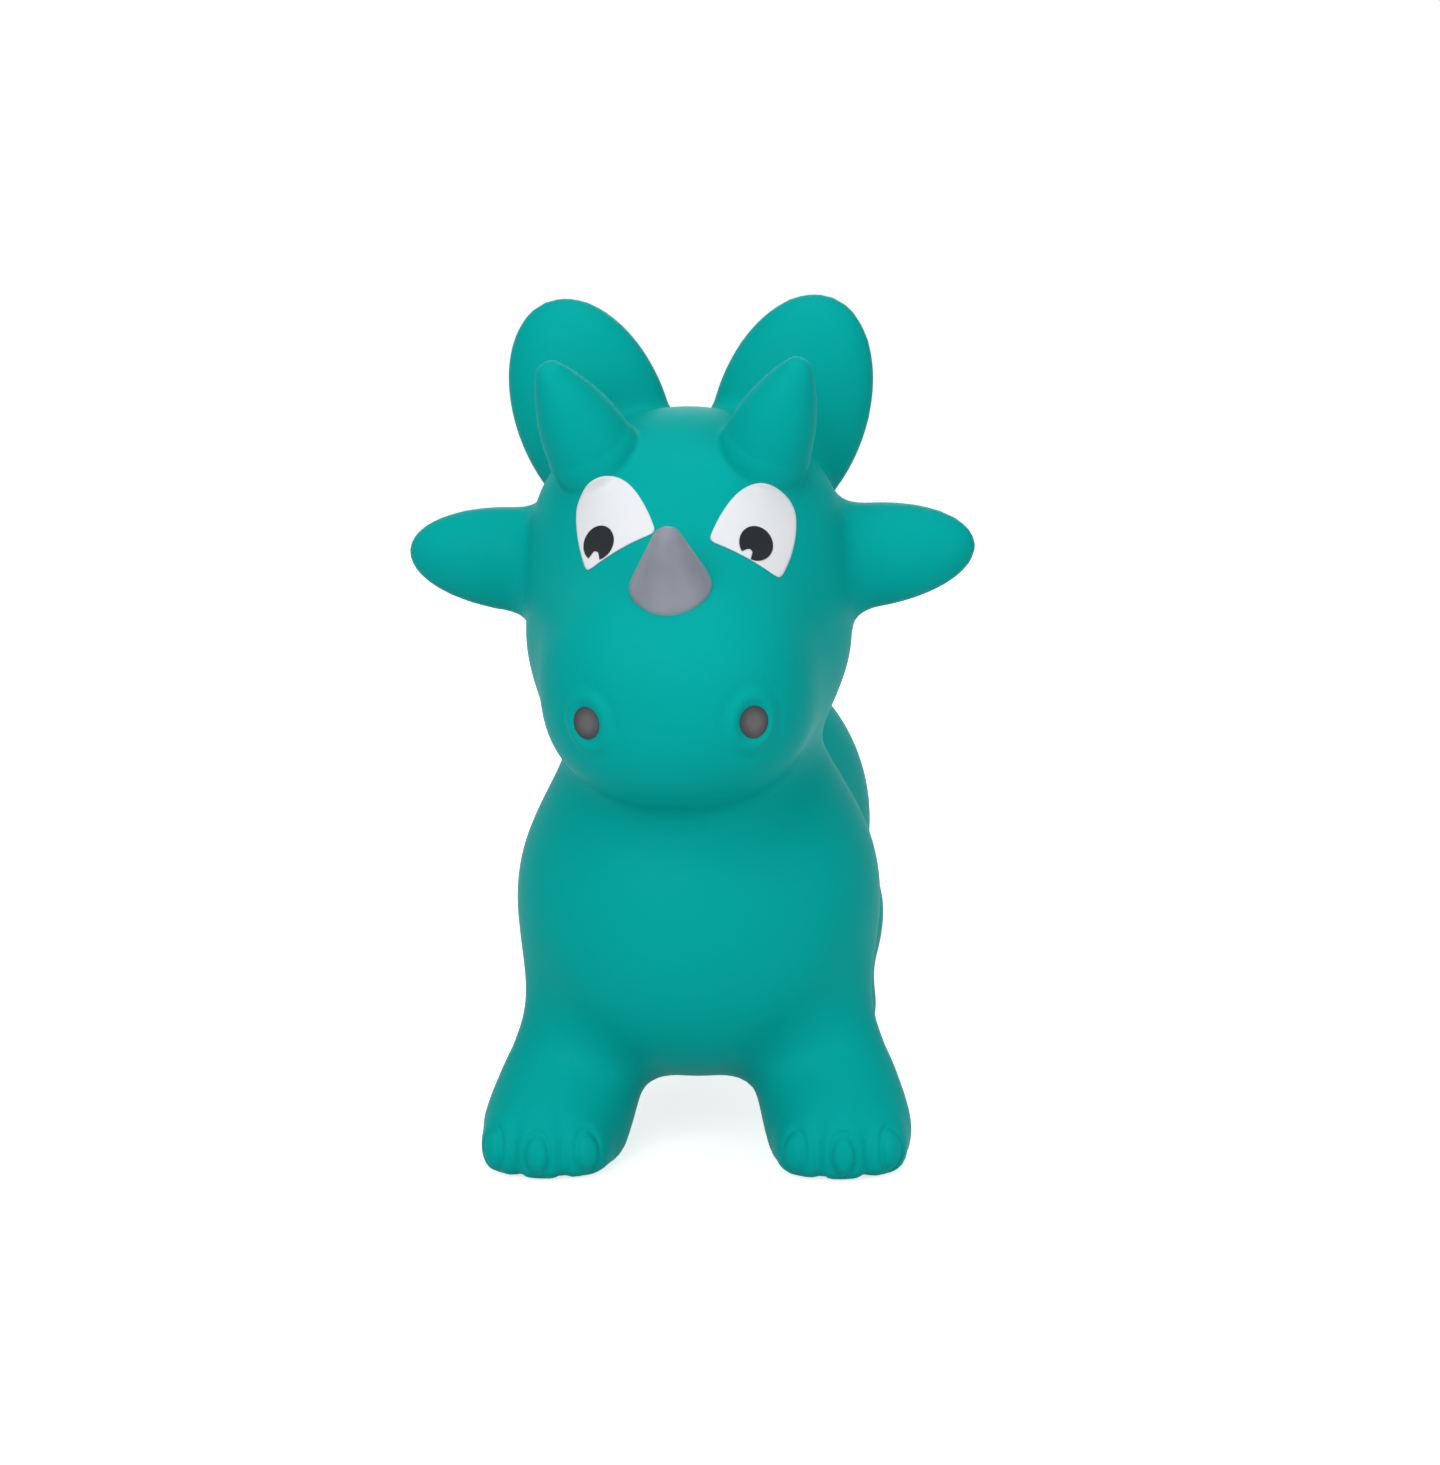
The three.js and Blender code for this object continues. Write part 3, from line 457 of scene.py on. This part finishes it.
# Nose horn. The real piece is a blunt cone of grey PVC on the bridge of the muzzle, bonded all round its
# foot, which follows the curve of the muzzle and is a little rounded at its edge.
HORN_RADIUS, HORN_HEIGHT, HORN_TIP_RADIUS, HORN_TILT, HORN_AHEAD = 25.0, 39.0, 9.6, 25.0, 50
HORN_SINK, FOOT_ROUNDING, FOOT_FADE, FOOT_SEARCH, ABOVE_MUZZLE = 0.6, 1.8, 1.6, 25.0, 138
horn_axis = np.array([0, -math.sin(math.radians(HORN_TILT)), math.cos(math.radians(HORN_TILT))])
horn_root = reach_skin(plain_skin, MUZZLE + (0, -HORN_AHEAD, ABOVE_MUZZLE), -UPWARD)
horn_front = np.cross([1, 0, 0], horn_axis)
TURNS, RINGS = 96, 40
flare = math.atan((HORN_RADIUS - HORN_TIP_RADIUS) / HORN_HEIGHT)
tip_middle = HORN_HEIGHT - HORN_TIP_RADIUS
tip_start, tip_width = tip_middle + HORN_TIP_RADIUS * math.sin(flare), HORN_TIP_RADIUS * math.cos(flare)


def horn_points(angle, height, rounding=0.0):
    """Points on the horn, at angles round its axis and heights along it."""
    straight = tip_width + (HORN_RADIUS - tip_width) * (1 - height / tip_start)
    domed = np.sqrt(np.maximum(HORN_TIP_RADIUS**2 - (height - tip_middle) ** 2, 0))
    radius = np.where(height < tip_start, straight, domed) - rounding
    around = np.cos(angle)[..., None] * np.array([1, 0, 0]) + np.sin(angle)[..., None] * horn_front
    return horn_root + height[..., None] * horn_axis + radius[..., None] * around


angles = np.linspace(0, 2 * math.pi, TURNS, endpoint=False)
# The height of the foot at each angle is found by halving, from well below the root to well above it
low, high = np.full(TURNS, -FOOT_SEARCH), np.full(TURNS, FOOT_SEARCH)
for _ in range(40):
    middle = (low + high) / 2
    outside = plain_skin(horn_points(angles, middle)) > 0
    low, high = np.where(outside, low, middle), np.where(outside, middle, high)
foot = low - HORN_SINK
# The rings lie closer towards the tip, and the last one stops just short of it
LAST_RING = 0.9995
shares = np.minimum(np.sin(np.linspace(0, math.pi / 2, RINGS)), LAST_RING)
levels = [foot + (HORN_HEIGHT - foot) * share for share in shares]
rings = np.stack(
    [horn_points(angles, level, FOOT_ROUNDING * np.exp((foot - level) / FOOT_FADE)) for level in levels]
)
horn_net = rings.reshape(-1, 3)
tip = len(horn_net)
horn_net = np.concatenate([horn_net, [horn_root + HORN_HEIGHT * horn_axis]])
horn_faces = []
for ring in range(RINGS - 1):
    for turn in range(TURNS):
        a, b = ring * TURNS + turn, ring * TURNS + (turn + 1) % TURNS
        horn_faces.append((a, b, b + TURNS, a + TURNS))
last = (RINGS - 1) * TURNS
horn_faces += [(last + turn, last + (turn + 1) % TURNS, tip) for turn in range(TURNS)]
# Soft PVC again, in a cool grey: its pigment is unevenly mixed, which the eye sees as pale and dark clouds
grey_pvc = grained("soft_pvc_grey", "#9b9ea8", "#797d8a", 0.46, 0.3, cloud_size=30.0)
add_mesh("nose_horn_skin", horn_net, horn_faces, grey_pvc, "nose_horn")

# Eyes. The real ones are sprayed on through a stencil: white first, then the black pupil, each a thin coat
# with a crisp edge. They are drawn flat before the face and laid onto the skin. The stencil sits a little
# askew, so the left eye is higher than the right one.
EYE_TILT, EYE_COAT, PUPIL_COAT, COAT_SINK, COAT_RINGS, BEFORE_COAT = 12, 0.5, 0.8, 0.3, 20, 90
EYE_ASIDE, EYE_RIGHTWARD, EYE_ABOVE, EYE_SKEW = 45, 5, 15, 2.8
PUPIL_ASIDE, PUPIL_RIGHTWARD, PUPIL_ABOVE, PUPIL_SKEW = 48.5, 1, 7, 0.7
PUPIL_HALF_WIDTH, PUPIL_HALF_HEIGHT, PUPIL_LEAN, GLINT_RADIUS = 9.7, 11.2, 25, 2.5
GLINT_ASIDE, GLINT_UP, GLINT_ASIDE_SKEW, GLINT_UP_SKEW = -3.2, -6.8, -1.3, 0.8
EYE_HUB_INWARD, EYE_HUB_UP, PUPIL_HUB = 2.0, 6.0, np.array([0.6, 1.2])


def bezier(start, first, second, end, count=24):
    """Points of a curve, without its last one."""
    t = np.linspace(0, 1, count, endpoint=False)[:, None]
    start, first, second, end = (np.array(v, float) for v in (start, first, second, end))
    return (1 - t) ** 3 * start + 3 * (1 - t) ** 2 * t * first + 3 * (1 - t) * t**2 * second + t**3 * end


def lay_film(name, outline, hub, x, z, tilt, thickness, material, replaced, form=plain_skin):
    """A thin coat inside an outline, in rings round a hub, laid on the skin and closed at its rim."""
    tilt = math.radians(tilt)
    ahead = np.array([0, math.cos(tilt), -math.sin(tilt)])
    up = np.array([0, math.sin(tilt), math.cos(tilt)])
    on_face = reach_skin(form, np.array([x, BEFORE_FACE, z]), np.array([0, 1.0, 0]))
    shares = [*np.linspace(0.04, 1, COAT_RINGS), 1.0]
    flat = np.stack([hub + (outline - hub) * share for share in shares])
    start = on_face - BEFORE_COAT * ahead + flat[..., :1] * np.array([1.0, 0, 0]) + flat[..., 1:] * up
    height = np.full((len(shares), 1), thickness)
    height[-1] = -COAT_SINK
    lying = reach_skin(lambda p: form(p) - height, start, ahead, far=200)
    count = len(outline)
    net = lying.reshape(-1, 3)
    turning = np.cross(net[1] - net[0], net[count] - net[0]) @ ahead > 0
    net_faces = [list(range(count))]
    for ring in range(len(shares) - 1):
        for i in range(count):
            a, b = ring * count + i, ring * count + (i + 1) % count
            net_faces.append([a, a + count, b + count, b])
    if not turning:
        net_faces = [face[::-1] for face in net_faces]
    add_mesh(name, net, net_faces, material, replaced)


def eye_outline(side):
    """The white of an eye, from its inner corner over its top and down to its foot, with soft corners."""
    outline = np.concatenate(
        [
            bezier((-29, -4.5), (-24, 10), (-13, 32), (1, 32)),
            bezier((1, 32), (13, 32), (23, 22), (23, 9)),
            bezier((23, 9), (23, -6), (19, -18), (14, -28)),
            bezier((14, -28), (0.7, -17.7), (-13.7, -9.8), (-29, -4.5)),
        ]
    )
    for _ in range(4):
        outline = (np.roll(outline, 1, 0) + 2 * outline + np.roll(outline, -1, 0)) / 4
    return outline * [side, 1]


def pupil_outline(side):
    """An oval with a round notch for the glint, which shows the white below."""
    angle = np.linspace(0, 2 * math.pi, 120, endpoint=False)
    lean = side * math.radians(PUPIL_LEAN)
    oval = np.stack([PUPIL_HALF_WIDTH * np.cos(angle), PUPIL_HALF_HEIGHT * np.sin(angle)], 1)
    oval = oval @ np.array([[math.cos(lean), math.sin(lean)], [-math.sin(lean), math.cos(lean)]])
    reach = np.linalg.norm(oval, axis=1)
    ray = oval / reach[:, None]
    glint = np.array([GLINT_ASIDE + GLINT_ASIDE_SKEW * side, GLINT_UP + GLINT_UP_SKEW * side])
    along = ray @ glint
    miss = np.maximum(glint @ glint - along**2, 0)
    inside = np.maximum(GLINT_RADIUS**2 - miss, 0)
    near = np.where((along > 0) & (inside > 0), along - np.sqrt(inside), reach)
    return ray * np.minimum(reach, near)[:, None]


# Vinyl paint from a spray gun: a clean cool white and a soft black, both satin, with a faint grain of drops.
# Its clouds are as wide as a stroke of the gun. The drops are drawn a few times coarser than they are.
STROKE, DROPS = 25.0, 0.6
white_paint = grained("vinyl_paint_white", "#edeef2", "#e8e9ed", 0.42, 0.2, STROKE, DROPS)
black_paint = grained("vinyl_paint_black", "#151a1f", "#1a1f24", 0.38, 0.2, STROKE, DROPS)
for name, side in (("left", -1), ("right", 1)):
    hub = np.array([-EYE_HUB_INWARD * side, EYE_HUB_UP])
    lay_film(
        f"{name}_eye_coat", eye_outline(side), hub,
        EYE_ASIDE * side + EYE_RIGHTWARD, HEAD[2] + EYE_ABOVE - EYE_SKEW * side,
        EYE_TILT, EYE_COAT, white_paint, f"{name}_eye_white",
    )
    lay_film(
        f"{name}_pupil_coat", pupil_outline(side), PUPIL_HUB,
        PUPIL_ASIDE * side + PUPIL_RIGHTWARD, HEAD[2] + PUPIL_ABOVE - PUPIL_SKEW * side,
        EYE_TILT, PUPIL_COAT, black_paint, f"{name}_pupil",
    )

# Nostrils. The real ones are hollows in the front of the muzzle with a soft rim, their bottoms sprayed dark.
# The paint's colour runs from a pale middle to a dark edge. The pale middle is a painted highlight, and the
# dark edge is partly a darker rim of paint and partly painted shade at the rim of the hollow.
NOSTRIL_HALF_WIDTH, NOSTRIL_HALF_HEIGHT, NOSTRIL_COAT = 8.25, 10.25, 0.3
# The middle colour carries a painted highlight; the edge colour is partly darker paint and partly painted
# shade
NOSTRIL_HIGHLIGHT_MIDDLE, NOSTRIL_SHADED_EDGE, EDGE_SHADE_START, EDGE_SHADE_FULL = "#5a5759", "#20262c", 0.35, 0.95
dark_paint, dark_shader = plain_material("vinyl_paint_dark", NOSTRIL_HIGHLIGHT_MIDDLE, 0.36, 0.4)
over_oval = add_node(dark_paint, "ShaderNodeTexCoord", {}).outputs["Generated"]
from_middle = add_node(
    dark_paint, "ShaderNodeVectorMath", {0: over_oval, 1: (0.5, 0.5, 0.5)}, operation="SUBTRACT"
).outputs["Vector"]
in_front = add_node(
    dark_paint, "ShaderNodeVectorMath", {0: from_middle, 1: (2, 0, 2)}, operation="MULTIPLY"
).outputs["Vector"]
share = add_node(dark_paint, "ShaderNodeVectorMath", {0: in_front}, operation="LENGTH").outputs["Value"]
# Painted highlight and painted shade: the colour darkens from the pale middle towards the oval's edge
edge = add_node(
    dark_paint, "ShaderNodeMapRange", {"Value": share, "From Min": EDGE_SHADE_START, "From Max": EDGE_SHADE_FULL}
)
tone = add_node(
    dark_paint,
    "ShaderNodeMix",
    {"Factor": edge.outputs["Result"], "A": linear(NOSTRIL_HIGHLIGHT_MIDDLE), "B": linear(NOSTRIL_SHADED_EDGE)},
    data_type="RGBA",
)
dark_paint.node_tree.links.new(tone.outputs[2], dark_shader.inputs["Base Color"])
turn = np.linspace(0, 2 * math.pi, 72, endpoint=False)
nostril = np.stack([NOSTRIL_HALF_WIDTH * np.cos(turn), NOSTRIL_HALF_HEIGHT * np.sin(turn)], 1)
for name, side in (("left", -1), ("right", 1)):
    lay_film(
        f"{name}_nostril_coat", nostril, np.zeros(2), NOSTRIL_ASIDE * side, NOSTRIL_LEVEL,
        0, NOSTRIL_COAT, dark_paint, f"{name}_nostril", form=skin,
    )

# Valve. The real bush is a ring of firmer PVC, welded into the pocket under the belly, and the plug a white
# moulded stopper with a thin head that is pushed into it.
BUSH_BORE, BUSH_TUBE, BUSH_FLANGE, EDGE_ROUNDING = 6.1, 9, 15, 0.4
FLANGE_BOTTOM, FLANGE_TOP, TUBE_TOP = -2.3, -0.3, 17
PLUG_STEM, PLUG_NOSE, PLUG_HEAD, HEAD_MIDDLE = 5.8, 4.2, 13, 3
HEAD_BOTTOM, HEAD_TOP, STEM_TOP, NOSE_TOP = -5, -2.6, 9.8, 11.4


def turned(name, profile, material, body_name, replaced, ring=False, turns=64):
    """A round piece at the pocket's floor, from radius and height pairs; a ring's profile is closed."""
    angles = np.linspace(0, 2 * math.pi, turns, endpoint=False)
    circle = np.stack([np.cos(angles), np.sin(angles), np.zeros(turns)], 1)
    net = np.concatenate([pocket_floor + radius * circle + height * UPWARD for radius, height in profile])
    count = len(profile)
    net_faces = []
    for step in range(count if ring else count - 1):
        here, there = step * turns, (step + 1) % count * turns
        for i in range(turns):
            j = (i + 1) % turns
            net_faces.append((here + i, here + j, there + j, there + i))
    if not ring:
        net_faces.append(tuple(range(turns))[::-1])
        net_faces.append(tuple((count - 1) * turns + i for i in range(turns)))
    piece = add_mesh(name, net, net_faces, material, replaced, body_name)
    bevel = piece.modifiers.new("edge", "BEVEL")
    bevel.width = EDGE_ROUNDING / 1000
    bevel.segments = 2
    bevel.limit_method = "ANGLE"


# Firm PVC: harder and a little glossier than the skin, and a darker teal
bush_pvc = grained("firm_pvc_teal", "#078f89", "#068781", 0.45, 0.3)
turned(
    "bush",
    [
        (BUSH_BORE, FLANGE_BOTTOM), (BUSH_FLANGE, FLANGE_BOTTOM), (BUSH_FLANGE, FLANGE_TOP),
        (BUSH_TUBE, FLANGE_TOP), (BUSH_TUBE, TUBE_TOP), (BUSH_BORE, TUBE_TOP),
    ],
    bush_pvc, "hopper", "valve_bush", ring=True,
)
# Firm white PVC, injection moulded: a milky, slightly warm white with a satin gloss. Its grain is finer than
# the skin's, because the mould is smoother, but still drawn coarser than it is.
PLUG_CLOUD, PLUG_GRAIN = 25.0, 0.6
white_pvc = grained("firm_pvc_white", "#e9eae6", "#e2e3de", 0.4, 0.4, PLUG_CLOUD, PLUG_GRAIN)
turned(
    "plug",
    [
        (HEAD_MIDDLE, HEAD_BOTTOM), (PLUG_HEAD, HEAD_BOTTOM), (PLUG_HEAD, HEAD_TOP),
        (PLUG_STEM, HEAD_TOP), (PLUG_STEM, STEM_TOP), (PLUG_NOSE, NOSE_TOP),
    ],
    white_pvc, "plug", "valve_plug",
)

# Studio. A pale floor runs off into white. A wide soft light stands at the left, weaker ones hang above, at
# the right and behind. The floor lies half a millimetre under the soles. Sizes are in metres.
scene = bpy.context.scene
floor_mesh = bpy.data.meshes.new("floor")
FLOOR_HALF, FLOOR_LEVEL, FLOOR_GLOW, SKY_LIGHT = 6.0, -0.0005, 0.75, 0.31
sides = ((-1, -1), (1, -1), (1, 1), (-1, 1))
corners = [(x * FLOOR_HALF, y * FLOOR_HALF, FLOOR_LEVEL) for x, y in sides]
floor_mesh.from_pydata(corners, [], [(0, 1, 2, 3)])
floor = bpy.data.objects.new("floor", floor_mesh)
scene.collection.objects.link(floor)
floor_material, floor_shader = plain_material("white_floor", "#dcdcdc", 0.8, 0.1)
floor_mesh.materials.append(floor_material)


def seen_rays(holder):
    """One for rays that see the studio, straight or in a gloss, and nought for those that light the toy."""
    path = add_node(holder, "ShaderNodeLightPath", {})
    either = add_node(
        holder, "ShaderNodeMath",
        {0: path.outputs["Is Camera Ray"], 1: path.outputs["Is Glossy Ray"]}, operation="MAXIMUM",
    )
    return add_node(
        holder, "ShaderNodeMath",
        {0: either.outputs[0], 1: path.outputs["Is Transmission Ray"]}, operation="MAXIMUM",
    ).outputs[0]


floor_shader.inputs["Emission Color"].default_value = (1, 1, 1, 1)
glow = add_node(
    floor_material, "ShaderNodeMath", {0: seen_rays(floor_material), 1: FLOOR_GLOW}, operation="MULTIPLY"
)
floor_material.node_tree.links.new(glow.outputs[0], floor_shader.inputs["Emission Strength"])
world = bpy.data.worlds.new("studio")
scene.world = world
world.use_nodes = True
background = world.node_tree.nodes["Background"]
background.inputs["Color"].default_value = (1, 1, 1, 1)
strength = add_node(
    world, "ShaderNodeMapRange", {"Value": seen_rays(world), "To Min": SKY_LIGHT, "To Max": 1.0}
)
world.node_tree.links.new(strength.outputs["Result"], background.inputs["Strength"])
TOY_MIDDLE = Vector((0, 0, 0.25))


def soft_light(name, place, size, power):
    """A round soft lamp that points at the middle of the toy."""
    light = bpy.data.lights.new(name, "AREA")
    light.shape = "DISK"
    light.size = size
    light.energy = power
    lamp = bpy.data.objects.new(name, light)
    lamp.location = place
    lamp.rotation_euler = (TOY_MIDDLE - Vector(place)).to_track_quat("-Z", "Y").to_euler()
    scene.collection.objects.link(lamp)


soft_light("key", (-0.75, -2.1, 1.4), 2.0, 26.5)
soft_light("top", (0.0, -0.3, 2.3), 1.5, 12)
soft_light("fill", (1.5, -1.5, 0.8), 1.4, 9)
soft_light("back", (0.0, 2.2, 1.5), 1.6, 13)

# The camera stands a little to the right of the muzzle and a little above it, and hangs a little askew.
# Its places are in metres, worked out from the front view, its lens in millimetres and its roll in degrees.
CAMERA_LENS, CAMERA_ROLL = 83.34, -1.3
camera = bpy.data.cameras.new("camera")
camera.lens = CAMERA_LENS
viewer = bpy.data.objects.new("camera", camera)
stand, aim = Vector((0.18719, -2.2528, 0.69407)), Vector((0.00912, -0.00272, 0.25153))
turn_to = (aim - stand).to_track_quat("-Z", "Y").to_matrix().to_4x4()
roll = Matrix.Rotation(math.radians(CAMERA_ROLL), 4, "Z")
viewer.matrix_world = Matrix.Translation(stand) @ turn_to @ roll
scene.collection.objects.link(viewer)
scene.camera = viewer
scene.view_settings.view_transform = "Standard"
